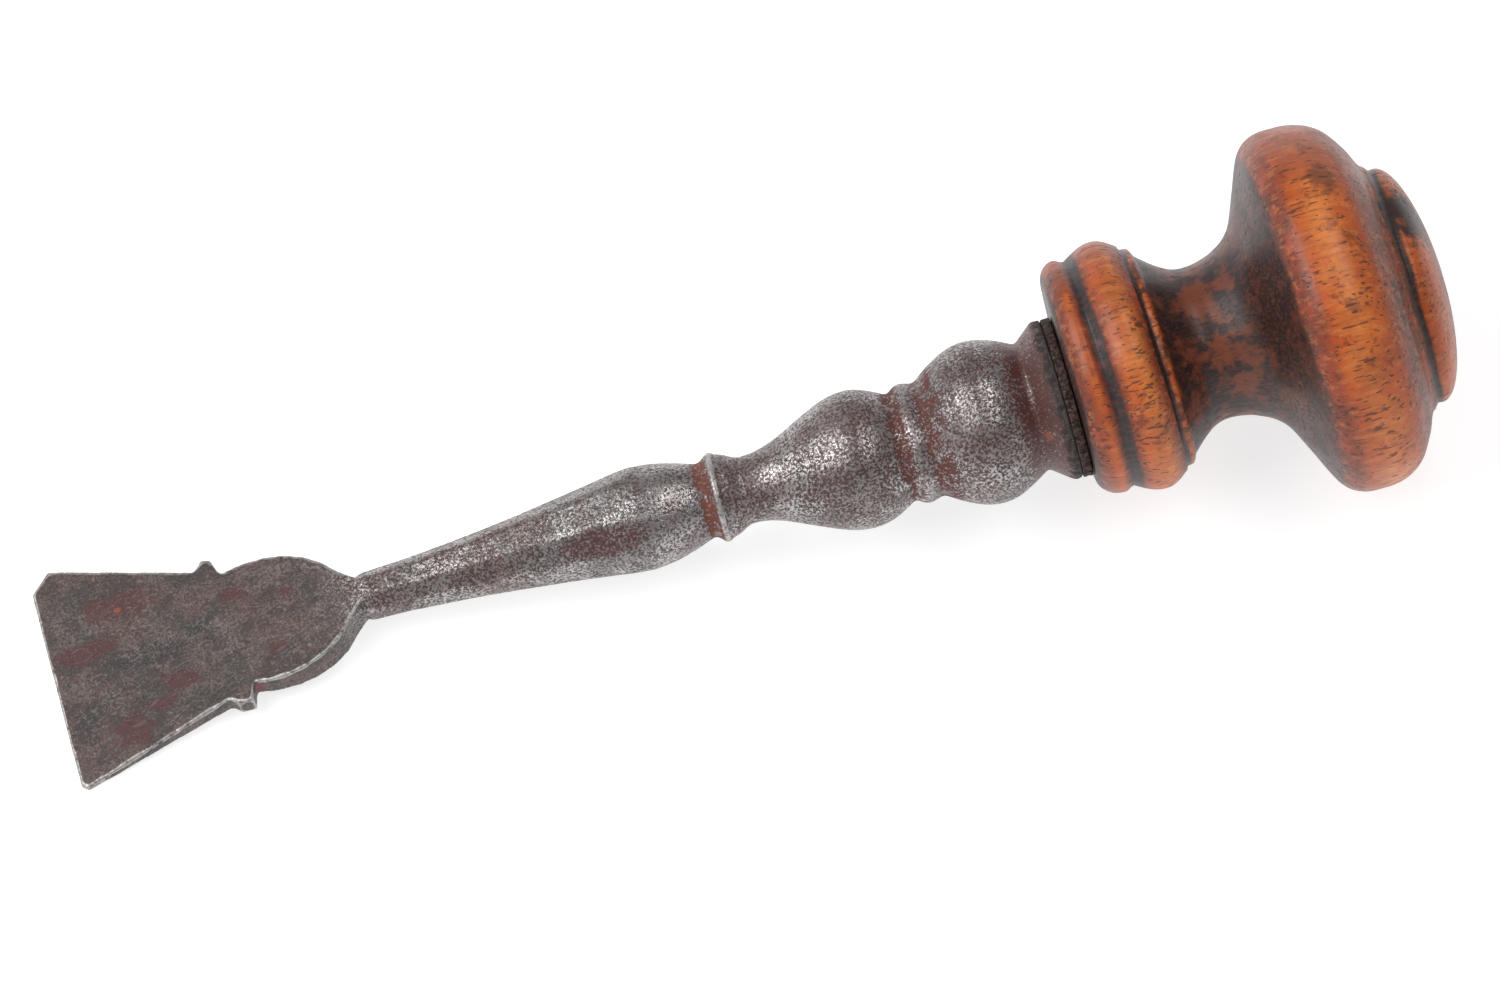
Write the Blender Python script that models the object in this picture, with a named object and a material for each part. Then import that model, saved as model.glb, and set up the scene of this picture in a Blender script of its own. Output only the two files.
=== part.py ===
"""Fishtail hand iron in a turned palm handle.

The tool lies at rest on a level surface, on the end of its blade and the rim of its mushroom head.
World axes: +X from the blade to the head, +Y across the blade, +Z up, metres. The origin is under the
middle of the tool, on the surface that it lies on.

Each piece is drawn along its own X axis, in millimetres, with x = 0 at the crest of the first ring of the
iron. The Y axis runs across the blade and the Z axis through its thickness. The empty "resting_pose"
carries all the pieces, scales them to metres and leans the tool over until both ends touch the surface.
"""

import math

import bmesh
import bpy
from mathutils import Matrix, Vector

MM = 0.001
GAP = 0.3                       # clearance that keeps neighbouring pieces apart

# Iron: distance along the tool, and half of the width there. An ear is four corners: its foot on the
# blade's side, its outer and inner corner, and the bottom of the notch behind it.
BLADE_END_X = -91.7
FAR_END_HALF_WIDTH = 17.8       # as forged, before the corners were clipped
NEAR_END_HALF_WIDTH = 16.9
BLADE_END_HALF_THICKNESS = 0.5
BLADE_FLAT_END = (-71.0, 1.35)  # the flat wedge turns here into the swell towards the neck
FAR_CORNER_CLIP = (2.8, 3.8)    # lengths taken off along the tool and along the end
NEAR_CORNER_CLIP = (0.9, 1.0)
FAR_EAR = ((-70.2, 10.3), (-68.8, 11.6), (-67.4, 11.35), (-66.8, 9.2))
NEAR_EAR = ((-70.0, 10.1), (-68.7, 11.1), (-66.6, 11.1), (-66.0, 8.6))
FAR_SHOULDER_X = -62.6          # the two halves of the round shoulder don't quite match
NEAR_SHOULDER_X = -62.2
SHOULDER_HALF_LENGTH = 11.9
SHOULDER_HALF_WIDTH = 9.2
SHOULDER_END_HALF_WIDTH = 4.8   # where the round shoulder stops and the fillet to the neck starts
BLADE_SKEW = 0.017              # how far the hand-forged blade is out of square
NECK = (-48.5, 3.2)
NECK_HALF_HEIGHT = 3.15
NECK_HALF_FLAT = 1.3            # the plan of the blade narrows to the flat on top of the neck
SHANK_ROOT_X = -54.0            # the shank's section starts inside the blade's shoulder
FLATS_HOLD = 8                  # how late the shank's flats melt into the round bulb
BULB = (-10.5, 7.0)
BULB_FOOT = (-1.9, 5.1)
RING_ONE = (-0.1, 6.2)
RING_ONE_FOOT = (0.7, 5.7)
BALUSTER_FOOT = (3.8, 4.6)
BALUSTER = (19.3, 9.4)
BALUSTER_HEEL = (25.0, 7.3)
RING_TWO = (26.9, 8.25)
RING_TWO_FOOT = (28.8, 7.8)
BALL = (36.4, 11.15)
BALL_FOOT = (43.1, 8.65)
BOLSTER_SHOULDER = (45.8, 10.75)
BOLSTER_RIM = (46.6, 11.1)
BOLSTER_BACK = (47.2, 11.0)
RING_SKEW = -0.035              # the first ring leans a little the other way
TANG_ROOT_HALF_SIDE = 2.3
TANG_END = (88.0, 1.2)

# The turned work was made by eye: (distance along, how far its middle lies off the axis)
CENTRE_LINE = (
    (-2.0, 0.0), (0.0, -0.12), (11.5, -0.5), (20.0, -0.4), (27.0, -0.35), (37.0, -0.15), (43.0, 0.1),
)

# Washer between the bolster and the handle
WASHER_THICKNESS = 0.8
WASHER_RADIUS = 11.1

# Handle: its axis runs beside the iron's, because the tang was set off its centre
HANDLE_OFFSET_Y = 2.2
HANDLE_SKEW = 0.036             # its rings are out of square, all but its fitted nose
HANDLE_SKEW_START = 3.0         # length over which the skew grows from the nose
BOSS_SKEW = 0.018               # and it fades from the rim of the head to the boss
HANDLE_NOSE_X = BOLSTER_BACK[0] + GAP + WASHER_THICKNESS + GAP
BORE_RADIUS = 6.3
BORE_END_X = 90.0
NOSE = (HANDLE_NOSE_X, 13.3)
FRONT_BEAD = (51.6, 16.2)
COLLAR_GROOVE = (52.9, 15.7)
REAR_BEAD = (57.1, 17.25)
REAR_BEAD_HEEL = (60.3, 15.7)
QUIRK = (60.5, 15.2)
FILLET_RING = (61.3, 15.1)
FILLET_RING_HEEL = (62.1, 13.9)
WAIST = (67.6, 10.6)
WAIST_REAR = (71.6, 11.4)
HEAD_THROAT = (74.8, 13.7)
HEAD_FLANK = (77.0, 18.2)
HEAD_SHOULDER = (79.2, 23.0)
HEAD_BROW = (81.5, 24.8)
HEAD_RIM = (84.3, 25.15)
HEAD_NAPE = (87.6, 24.75)
HEAD_CHEEK = (90.5, 23.1)
HEAD_HEEL = (92.6, 20.1)
HEAD_COVE = (94.3, 17.0)
BOSS_QUIRK = (95.0, 16.2)
BOSS_RIM = (95.6, 16.3)
BOSS_END_X = 100.4
BOSS_TIP_RADIUS = 0.6           # the dome closes on a very small flat

IRON_SIDES = 32
WOOD_SIDES = 48


# ---------------------------------------------------------------------------
# Profiles: (x, radius) points, drawn move by move from one named point to the next
# ---------------------------------------------------------------------------

def between(start, end, steps, shape):
    """Points after start up to end; shape(t) is the share of the climb that is done at t."""
    points = []
    for step in range(1, steps + 1):
        t = step / steps
        x = start[0] + (end[0] - start[0]) * t
        radius = start[1] + (end[1] - start[1]) * shape(t)
        points.append((x, radius))
    return points


def straight(t):
    return t


def ease(t):
    """Level at both ends: a swell between a hollow and a crest."""
    return (1 - math.cos(math.pi * t)) / 2


def to_crest(t):
    """Steep at first and level at the end: the near flank of a bead."""
    return math.sin(math.pi / 2 * t)


def from_crest(t):
    """Level at first and steep at the end: the far flank of a bead."""
    return 1 - math.cos(math.pi / 2 * t)


def full_round(t):
    """A quarter of an ellipse that starts square to the axis and ends along it."""
    return math.sqrt(1 - (1 - t) ** 2)


def full_drop(t):
    """A quarter of an ellipse that starts along the axis and ends square to it."""
    return 1 - math.sqrt(1 - t ** 2)


def shank_taper(t):
    """A long hollow taper that quickens towards the bulb."""
    return t ** 1.55


def profile(start, *moves):
    points = [start]
    for shape, end, steps in moves:
        points += between(points[-1], end, steps, shape)
    return points


def flowing(knots, steps):
    """A smooth curve through the knots after the first one, level at both of its ends."""
    slopes = [0.0]
    for before, after in zip(knots, knots[2:]):
        slopes.append((after[1] - before[1]) / (after[0] - before[0]))
    slopes.append(0.0)
    points = []
    for index, (start, end) in enumerate(zip(knots, knots[1:])):
        length = end[0] - start[0]
        for step in range(1, steps + 1):
            t = step / steps
            share = t * t * (3 - 2 * t)
            leave = slopes[index] * t * (1 - t) ** 2
            arrive = slopes[index + 1] * t * t * (t - 1)
            radius = start[1] + (end[1] - start[1]) * share + (leave + arrive) * length
            points.append((start[0] + length * t, radius))
    return points


# ---------------------------------------------------------------------------
# Sections: rings of points around the X axis
# ---------------------------------------------------------------------------

def flat_sided(angle, sides):
    """Radius of a regular polygon with unit half-width and a flat square to the Y axis."""
    turn = 2 * math.pi / sides
    from_flat = (angle + turn / 2) % turn - turn / 2
    return 1 / math.cos(from_flat)


def ring(x, radius, count, sides=0, flats=1.0, y=0.0, skew=0.0):
    """One section: round when sides is 0, else flat-sided to the degree that flats gives."""
    points = []
    for index in range(count):
        angle = 2 * math.pi * index / count
        reach = radius
        if sides:
            reach *= 1 + flats * (flat_sided(angle, sides) - 1)
        across = reach * math.cos(angle)
        points.append(Vector((x - skew * across, y + across, reach * math.sin(angle))))
    return points


def loft(name, rings, closed=False):
    """A skin over rings of equal count; its ends are capped unless it closes on itself."""
    mesh = bpy.data.meshes.new(name)
    bm = bmesh.new()
    loops = [[bm.verts.new(point) for point in points] for points in rings]
    count = len(loops[0])
    pairs = list(zip(loops, loops[1:]))
    if closed:
        pairs.append((loops[-1], loops[0]))
    for first, second in pairs:
        for index in range(count):
            after = (index + 1) % count
            bm.faces.new((first[index], first[after], second[after], second[index]))
    if not closed:
        bm.faces.new(list(reversed(loops[0])))
        bm.faces.new(loops[-1])
    bmesh.ops.recalc_face_normals(bm, faces=bm.faces)
    bm.to_mesh(mesh)
    bm.free()
    part = bpy.data.objects.new(name, mesh)
    bpy.context.scene.collection.objects.link(part)
    return part


# ---------------------------------------------------------------------------
# Finishing
# ---------------------------------------------------------------------------

def make_material(name, colour, roughness, metallic):
    material = bpy.data.materials.new(name)
    material.use_nodes = True
    shader = material.node_tree.nodes["Principled BSDF"]
    shader.inputs["Base Color"].default_value = (*colour, 1.0)
    shader.inputs["Roughness"].default_value = roughness
    shader.inputs["Metallic"].default_value = metallic
    return material


def finish(part, pose, material, crease_degrees):
    part.parent = pose
    part.data.materials.append(material)
    part.data.shade_smooth()
    part.data.set_sharp_from_angle(angle=math.radians(crease_degrees))
    return part


# ---------------------------------------------------------------------------
# The iron
# ---------------------------------------------------------------------------

def shoulder_point(centre_x, angle):
    """A point on the round shoulder; angle 0 points along the tool to the neck."""
    return (centre_x + SHOULDER_HALF_LENGTH * math.cos(angle), SHOULDER_HALF_WIDTH * math.sin(angle))


def blade_side(end_half_width, clip, ear, shoulder_x):
    """One long side of the blade's outline, from its end to its neck, at positive widths."""
    along, across = clip
    foot, outer, inner, notch = ear
    slope = (end_half_width - foot[1]) / (foot[0] - BLADE_END_X)
    points = [
        (BLADE_END_X, end_half_width - across),
        (BLADE_END_X + along, end_half_width - slope * along),
        foot,
    ]
    points += between(foot, outer, 3, from_crest)
    points += [inner, notch]
    notch_angle = math.acos((notch[0] - shoulder_x) / SHOULDER_HALF_LENGTH)
    end_angle = math.asin(SHOULDER_END_HALF_WIDTH / SHOULDER_HALF_WIDTH)
    steps = 14
    for step in range(1, steps + 1):
        angle = notch_angle + (end_angle - notch_angle) * step / steps
        points.append(shoulder_point(shoulder_x, angle))
    points += between(points[-1], (NECK[0] + 1.0, NECK_HALF_FLAT), 6, to_crest)
    return points


def wedge_slope():
    """How fast half of the thickness grows along the flat part of the blade."""
    return (BLADE_FLAT_END[1] - BLADE_END_HALF_THICKNESS) / (BLADE_FLAT_END[0] - BLADE_END_X)


def hollow_swell(t):
    """Carries the blade's own slope on at first, then quickens to the neck."""
    start = wedge_slope() * (NECK[0] - BLADE_FLAT_END[0]) / (NECK_HALF_HEIGHT - BLADE_FLAT_END[1])
    return start * t + (1 - start) * t ** 1.6


def make_blade():
    """The blade's plan and the side view of its thickness, two prisms cut to their common part."""
    far_side = blade_side(FAR_END_HALF_WIDTH, FAR_CORNER_CLIP, FAR_EAR, FAR_SHOULDER_X)
    near_side = blade_side(NEAR_END_HALF_WIDTH, NEAR_CORNER_CLIP, NEAR_EAR, NEAR_SHOULDER_X)
    sides = far_side + [(x, -width) for x, width in reversed(near_side)]
    outline = [(x - BLADE_SKEW * y, y) for x, y in sides]
    margin = 5.0
    reach = NECK_HALF_HEIGHT + margin
    plan = loft("blade_plan", [[Vector((x, y, z)) for x, y in outline] for z in (-reach, reach)])
    start = (BLADE_END_X - margin, BLADE_END_HALF_THICKNESS - margin * wedge_slope())
    upper = profile(start, (straight, BLADE_FLAT_END, 1), (hollow_swell, (NECK[0], NECK_HALF_HEIGHT), 8))
    upper.append((NECK[0] + margin, NECK_HALF_HEIGHT))
    side = upper + [(x, -z) for x, z in reversed(upper)]
    reach = FAR_END_HALF_WIDTH + margin
    cutter = loft("blade_side_view", [[Vector((x, y, z)) for x, z in side] for y in (-reach, reach)])
    cut = plan.modifiers.new("thickness", "BOOLEAN")
    cut.operation = "INTERSECT"
    cut.solver = "EXACT"
    cut.object = cutter
    return plan, cutter


def shank_sections():
    """Eight-sided from the blade's shoulder to the bulb, where the flats run out."""
    rings = [ring(SHANK_ROOT_X, NECK_HALF_FLAT, IRON_SIDES, 8)]
    points = profile(NECK, (shank_taper, BULB, 12))
    for x, half_width in points:
        share = (x - NECK[0]) / (BULB[0] - NECK[0])
        flats = 1 - share ** FLATS_HOLD
        rings.append(ring(x, half_width, IRON_SIDES, 8, flats))
    return rings


def turned_profile():
    """Round work from the bulb to the back of the bolster."""
    return profile(
        BULB,
        (from_crest, BULB_FOOT, 6),
        (ease, RING_ONE, 4),
        (from_crest, RING_ONE_FOOT, 3),
        (ease, BALUSTER_FOOT, 3),
        (ease, BALUSTER, 9),
        (from_crest, BALUSTER_HEEL, 5),
        (to_crest, RING_TWO, 3),
        (ease, RING_TWO_FOOT, 2),
        (to_crest, BALL, 6),
        (from_crest, BALL_FOOT, 6),
        (straight, BOLSTER_SHOULDER, 2),
        (to_crest, BOLSTER_RIM, 2),
        (from_crest, BOLSTER_BACK, 2),
    )


def bow(x):
    """How far the turned work wanders across the axis."""
    for (start_x, start), (end_x, end) in zip(CENTRE_LINE, CENTRE_LINE[1:]):
        if x < end_x:
            share = max(0, (x - start_x) / (end_x - start_x))
            return start + (end - start) * ease(share)
    return CENTRE_LINE[-1][1]


def make_blade_and_shank(pose):
    """One forging: blade, shank, turned work, bolster and the square tang in the handle."""
    rings = shank_sections()
    for x, radius in turned_profile()[1:]:
        skew = RING_SKEW if BULB_FOOT[0] <= x <= BALUSTER_FOOT[0] else 0
        rings.append(ring(x, radius, IRON_SIDES, y=bow(x), skew=skew))
    rings.append(ring(BOLSTER_BACK[0], TANG_ROOT_HALF_SIDE, IRON_SIDES, 4))
    rings.append(ring(TANG_END[0], TANG_END[1], IRON_SIDES, 4))
    iron = loft("blade_and_shank", rings)
    blade, cutter = make_blade()
    for guide in (blade, cutter):
        guide.parent = pose
        guide.hide_render = True
        guide.display_type = "WIRE"
    weld = iron.modifiers.new("forge_weld", "BOOLEAN")
    weld.operation = "UNION"
    weld.solver = "EXACT"
    weld.object = blade
    material = make_material("old_iron", (0.20, 0.17, 0.16), 0.42, 0.85)
    return finish(iron, pose, material, 25)


# ---------------------------------------------------------------------------
# The pieces between the iron and the handle
# ---------------------------------------------------------------------------

def make_seat_washer(pose):
    """A thin washer on the tang, nipped between the bolster and the handle's nose."""
    front_x = BOLSTER_BACK[0] + GAP
    back_x = front_x + WASHER_THICKNESS
    hole = TANG_ROOT_HALF_SIDE + GAP
    rings = [
        ring(front_x, hole, IRON_SIDES, 4),
        ring(front_x, WASHER_RADIUS, IRON_SIDES),
        ring(back_x, WASHER_RADIUS, IRON_SIDES),
        ring(back_x, hole, IRON_SIDES, 4),
    ]
    washer = loft("seat_washer", rings, closed=True)
    material = make_material("dried_leather", (0.045, 0.033, 0.028), 0.8, 0.0)
    return finish(washer, pose, material, 30)


def make_tang_pitch(pose):
    """Resin that fills the bore around the tang, with the tang's square socket in it."""
    front_x = HANDLE_NOSE_X + GAP
    back_x = BORE_END_X - GAP
    radius = BORE_RADIUS - GAP
    taper = (TANG_ROOT_HALF_SIDE - TANG_END[1]) / (TANG_END[0] - BOLSTER_BACK[0])
    mouth = TANG_ROOT_HALF_SIDE - taper * (front_x - BOLSTER_BACK[0]) + GAP
    rings = [
        ring(back_x, radius, IRON_SIDES, y=HANDLE_OFFSET_Y),
        ring(front_x, radius, IRON_SIDES, y=HANDLE_OFFSET_Y),
        ring(front_x, mouth, IRON_SIDES, 4),
        ring(TANG_END[0] + GAP, TANG_END[1] + GAP, IRON_SIDES, 4),
    ]
    pitch = loft("tang_pitch", rings)
    material = make_material("pitch", (0.03, 0.02, 0.015), 0.5, 0.0)
    return finish(pitch, pose, material, 30)


# ---------------------------------------------------------------------------
# The handle
# ---------------------------------------------------------------------------

def handle_profile():
    """Outside of the handle: collar with two beads, waist, mushroom head and domed boss."""
    collar = profile(
        NOSE,
        (full_round, FRONT_BEAD, 5),
        (ease, COLLAR_GROOVE, 2),
        (to_crest, REAR_BEAD, 5),
        (from_crest, REAR_BEAD_HEEL, 4),
        (straight, QUIRK, 1),
        (straight, FILLET_RING, 1),
        (from_crest, FILLET_RING_HEEL, 2),
        (to_crest, WAIST, 7),
    )
    head = flowing([
        WAIST, WAIST_REAR, HEAD_THROAT, HEAD_FLANK, HEAD_SHOULDER, HEAD_BROW, HEAD_RIM, HEAD_NAPE,
        HEAD_CHEEK, HEAD_HEEL, HEAD_COVE,
    ], 3)
    boss = profile(
        HEAD_COVE,
        (straight, BOSS_QUIRK, 1),
        (straight, BOSS_RIM, 1),
        (full_drop, (BOSS_END_X, BOSS_TIP_RADIUS), 7),
    )
    return collar + head + boss[1:]


def handle_skew(x):
    """How far out of square the handle's section at x is."""
    grown = min(1, (x - HANDLE_NOSE_X) / HANDLE_SKEW_START)
    faded = min(1, max(0, (x - HEAD_RIM[0]) / (BOSS_QUIRK[0] - HEAD_RIM[0])))
    return HANDLE_SKEW * grown + (BOSS_SKEW - HANDLE_SKEW) * faded


def make_handle(pose):
    """One block of hardwood, bored from its nose to take the tang."""
    rings = [
        ring(BORE_END_X, BORE_RADIUS, WOOD_SIDES),
        ring(HANDLE_NOSE_X, BORE_RADIUS, WOOD_SIDES),
    ]
    for x, radius in handle_profile():
        rings.append(ring(x, radius, WOOD_SIDES, skew=handle_skew(x)))
    handle = loft("handle", rings)
    handle.location.y = HANDLE_OFFSET_Y
    material = make_material("varnished_beech", (0.42, 0.16, 0.05), 0.28, 0.0)
    return finish(handle, pose, material, 35)


# ---------------------------------------------------------------------------
# Resting on the surface
# ---------------------------------------------------------------------------

def shape_points(part):
    """The part's finished points in the tool's own frame, in millimetres."""
    depsgraph = bpy.context.evaluated_depsgraph_get()
    finished = part.evaluated_get(depsgraph).to_mesh()
    return [vertex.co + part.location for vertex in finished.vertices]


def leaned(points, lean):
    """The points after the tool leans by an angle about its Y axis."""
    turn = Matrix.Rotation(-lean, 4, "Y")
    return [turn @ point for point in points]


def lowest(points):
    return min(point.z for point in points)


def rest_on_surface(pose, iron, handle):
    """Lean the tool until blade and head are level, then centre it over the origin."""
    iron_points = shape_points(iron)
    handle_points = shape_points(handle)
    low, high = 0.0, math.radians(20)
    for _ in range(40):
        lean = (low + high) / 2
        if lowest(leaned(handle_points, lean)) < lowest(leaned(iron_points, lean)):
            low = lean
        else:
            high = lean
    points = leaned(iron_points + handle_points, lean)
    middle_x = (min(p.x for p in points) + max(p.x for p in points)) / 2
    middle_y = (min(p.y for p in points) + max(p.y for p in points)) / 2
    pose.rotation_euler = (0, -lean, 0)
    pose.location = Vector((-middle_x, -middle_y, -lowest(points))) * MM
    pose.scale = (MM, MM, MM)


def clear_scene():
    for item in list(bpy.data.objects):
        bpy.data.objects.remove(item, do_unlink=True)


def build():
    clear_scene()
    pose = bpy.data.objects.new("resting_pose", None)
    bpy.context.scene.collection.objects.link(pose)
    iron = make_blade_and_shank(pose)
    make_seat_washer(pose)
    make_tang_pitch(pose)
    handle = make_handle(pose)
    rest_on_surface(pose, iron, handle)


build()
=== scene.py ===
"""Looks of the fishtail hand iron in its turned palm handle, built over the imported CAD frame."""

import itertools
import math

import bpy
import numpy as np
from mathutils import Matrix, Vector


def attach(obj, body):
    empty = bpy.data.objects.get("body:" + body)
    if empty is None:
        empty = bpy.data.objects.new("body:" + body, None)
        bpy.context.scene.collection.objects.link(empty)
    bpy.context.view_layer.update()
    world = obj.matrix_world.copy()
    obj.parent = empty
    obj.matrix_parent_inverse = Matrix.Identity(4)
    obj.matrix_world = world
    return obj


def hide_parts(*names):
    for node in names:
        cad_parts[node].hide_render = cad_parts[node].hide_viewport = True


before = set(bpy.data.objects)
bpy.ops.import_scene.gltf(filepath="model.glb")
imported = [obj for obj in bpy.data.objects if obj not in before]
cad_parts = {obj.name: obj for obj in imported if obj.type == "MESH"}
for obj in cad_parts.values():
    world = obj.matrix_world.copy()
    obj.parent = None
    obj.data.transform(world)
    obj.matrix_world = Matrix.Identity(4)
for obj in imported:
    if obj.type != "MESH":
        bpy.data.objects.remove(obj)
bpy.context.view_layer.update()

MM = 0.001

# The tool's own axis: millimetres along it from the crest of the iron's first ring
WASHER_FRONT_X = 47.5
WASHER_BACK_X = 48.3

# Iron: (distance along the axis, half-width)
BLADE_END_X = -91.7
FAR_END_HALF_WIDTH = 17.8
NEAR_END_HALF_WIDTH = 16.9
BLADE_END_HALF_THICKNESS = 0.5
BLADE_FLAT_END = (-71.0, 1.35)
FAR_CORNER_CLIP = (2.8, 3.8)
NEAR_CORNER_CLIP = (0.9, 1.0)
FAR_EAR = ((-70.2, 10.3), (-68.8, 11.6), (-67.4, 11.35), (-66.8, 9.2))
NEAR_EAR = ((-70.0, 10.1), (-68.7, 11.1), (-66.6, 11.1), (-66.0, 8.6))
FAR_SHOULDER_X = -62.6
NEAR_SHOULDER_X = -62.2
SHOULDER_HALF_LENGTH = 11.9
SHOULDER_HALF_WIDTH = 9.2
SHOULDER_END_HALF_WIDTH = 4.8
BLADE_SKEW = 0.017
NECK = (-48.5, 3.2)
NECK_HALF_HEIGHT = 3.15
NECK_HALF_FLAT = 1.3
NECK_OVERRUN = 1.0              # how far the blade's outline runs into the neck
SHANK_ROOT_X = -54.0
BULB = (-10.5, 7.0)
FACET_FADE_X = (-13.5, -9.0)    # the shank's flats run out between these
CORNER_REACH = 1.05             # how far the shank's rounded corners stand beyond its flats
BULB_FOOT = (-1.9, 5.1)
RING_ONE = (-0.1, 6.2)
RING_ONE_FOOT = (0.7, 5.7)
BALUSTER_FOOT = (3.8, 4.6)
BALUSTER = (19.3, 9.4)
BALUSTER_HEEL = (25.0, 7.3)
RING_TWO = (26.9, 8.25)
RING_TWO_FOOT = (28.8, 7.8)
BALL = (36.4, 11.15)
BALL_FOOT = (43.1, 8.65)
BOLSTER_SHOULDER = (45.8, 10.75)
BOLSTER_RIM = (46.6, 11.1)
BOLSTER_BACK = (47.2, 11.0)
RING_SKEW = -0.035
TANG_ROOT_HALF_SIDE = 2.3
TANG_END = (88.0, 1.2)
TANG_CORNER_REACH = 4.0         # more than the square tang's corners need, so they stay sharp
CENTRE_LINE = (
    (-2.0, 0.0), (0.0, -0.12), (11.5, -0.5), (20.0, -0.4), (27.0, -0.35), (37.0, -0.15), (43.0, 0.1),
)

# Washer and handle
WASHER_RADIUS = 11.1
WASHER_SWELL = 0.28             # how far the dried leather stands out into the gap on each side
WASHER_ROUNDING = (0.15, 0.2)   # what its rim loses along the tool and across it
WASHER_FACE_RADII = (6.0, 9.0)  # rings of points on its two faces
WASHER_HOLE_CLEARANCE = 0.3
HANDLE_OFFSET_Y = 2.2
HANDLE_SKEW = 0.036
HANDLE_SKEW_START = 3.0
BOSS_SKEW = 0.018
HANDLE_NOSE_X = 48.6
NOSE_RADIUS = 13.3
BORE_RADIUS = 6.3
BORE_END_X = 90.0
FRONT_BEAD = (51.6, 16.2)
COLLAR_GROOVE = (52.9, 15.7)
REAR_BEAD = (57.1, 17.25)
REAR_BEAD_HEEL = (60.3, 15.7)
QUIRK = (60.5, 15.2)
FILLET_RING = (61.3, 15.1)
FILLET_RING_HEEL = (62.1, 13.9)
WAIST = (67.6, 10.6)
WAIST_REAR = (71.6, 11.4)
HEAD_THROAT = (74.8, 13.7)
HEAD_FLANK = (77.0, 18.2)
HEAD_SHOULDER = (79.2, 23.0)
HEAD_BROW = (81.5, 24.8)
HEAD_RIM = (84.3, 25.15)
HEAD_NAPE = (87.6, 24.75)
HEAD_CHEEK = (90.5, 23.1)
HEAD_HEEL = (92.6, 20.1)
HEAD_COVE = (94.3, 17.0)
BOSS_QUIRK = (95.0, 16.2)
BOSS_RIM = (95.6, 16.3)
BOSS_END = (100.4, 0.6)

VOXEL = 0.22                    # edge of the iron's mesh, mm
SAMPLE = 0.3                    # step along the turned profiles, mm
IRON_SIDES = 160
WASHER_SIDES = 320
WOOD_SIDES = 320
SHOULDER_POINTS = 40            # on each half of the blade's round shoulder
CURVE_POINTS = 200              # a curve is measured at so many points before it is evenly spaced
BORE_STEP = 2.0
NOSE_STEP = 0.5
CUT_MARGIN = 5.0                # how far the blade's two prisms reach past each other

# Uneven surfaces: a table of random values, read at the corners of a grid
NOISE_TABLE = 4096
NOISE_ORIGIN = 500.0
NOISE_PRIMES = np.array([73856093, 19349663, 83492791])

# Floor, light and camera, in metres, degrees and, for the focal length, mm
FLOOR_HALF_SIZE = 4.0
SOFTBOX_DISTANCE = 0.8
AZIMUTH = -13.74
ELEVATION = 60.0
CAMERA_DISTANCE = 1.3
FOCAL_LENGTH = 232.65
AIM_RIGHT = 0.000305
AIM_UP = 0.003398


# ---------------------------------------------------------------------------
# Where the tool's axis lies in the frame
# ---------------------------------------------------------------------------

def tool_matrix():
    """Maps tool millimetres to the frame, from the flat round washer on the tool's axis."""
    points = np.array([v.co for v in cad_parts["seat_washer"].data.vertices])
    middle = (points.min(0) + points.max(0)) / 2
    axis = np.linalg.svd(points - points.mean(0), full_matrices=False)[2][2]
    axis = axis * np.sign(axis[0])
    axis[1] = 0
    along = Vector(axis).normalized()
    across = Vector((0, 1, 0))
    up = along.cross(across)
    turn = Matrix((along, across, up)).transposed().to_4x4()
    washer_x = (WASHER_FRONT_X + WASHER_BACK_X) / 2
    return Matrix.Translation(middle) @ turn @ Matrix.Scale(MM, 4) @ Matrix.Translation((-washer_x, 0, 0))


TOOL = tool_matrix()


# ---------------------------------------------------------------------------
# Profiles
# ---------------------------------------------------------------------------

def straight(t):
    return t


def ease(t):
    return (1 - math.cos(math.pi * t)) / 2


def to_crest(t):
    return math.sin(math.pi / 2 * t)


def from_crest(t):
    return 1 - math.cos(math.pi / 2 * t)


def full_round(t):
    return math.sqrt(max(0, 1 - (1 - t) ** 2))


def full_drop(t):
    return 1 - math.sqrt(max(0, 1 - t ** 2))


def shank_taper(t):
    return t ** 1.55


def between(start, end, shape, step=SAMPLE):
    """Points after start up to end, evenly spaced along the curve."""
    fine = np.linspace(0, 1, CURVE_POINTS)
    x = start[0] + (end[0] - start[0]) * fine
    radius = start[1] + (end[1] - start[1]) * np.array([shape(t) for t in fine])
    run = np.concatenate([[0], np.cumsum(np.hypot(np.diff(x), np.diff(radius)))])
    count = max(1, math.ceil(run[-1] / step))
    marks = np.linspace(0, run[-1], count + 1)[1:]
    return list(zip(np.interp(marks, run, x), np.interp(marks, run, radius)))


def profile(start, *moves):
    points = [start]
    for shape, end in moves:
        points += between(points[-1], end, shape)
    return points


def flowing(knots):
    """A smooth curve through the knots after the first one, level at both of its ends."""
    slopes = [0.0]
    for before, after in zip(knots, knots[2:]):
        slopes.append((after[1] - before[1]) / (after[0] - before[0]))
    slopes.append(0.0)
    points = []
    for index, (start, end) in enumerate(zip(knots, knots[1:])):
        length = end[0] - start[0]
        steps = math.ceil(math.hypot(length, end[1] - start[1]) / SAMPLE)
        for step in range(1, steps + 1):
            t = step / steps
            share = t * t * (3 - 2 * t)
            leave = slopes[index] * t * (1 - t) ** 2
            arrive = slopes[index + 1] * t * t * (t - 1)
            radius = start[1] + (end[1] - start[1]) * share + (leave + arrive) * length
            points.append((start[0] + length * t, radius))
    return points


# ---------------------------------------------------------------------------
# Meshes in tool millimetres
# ---------------------------------------------------------------------------

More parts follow.
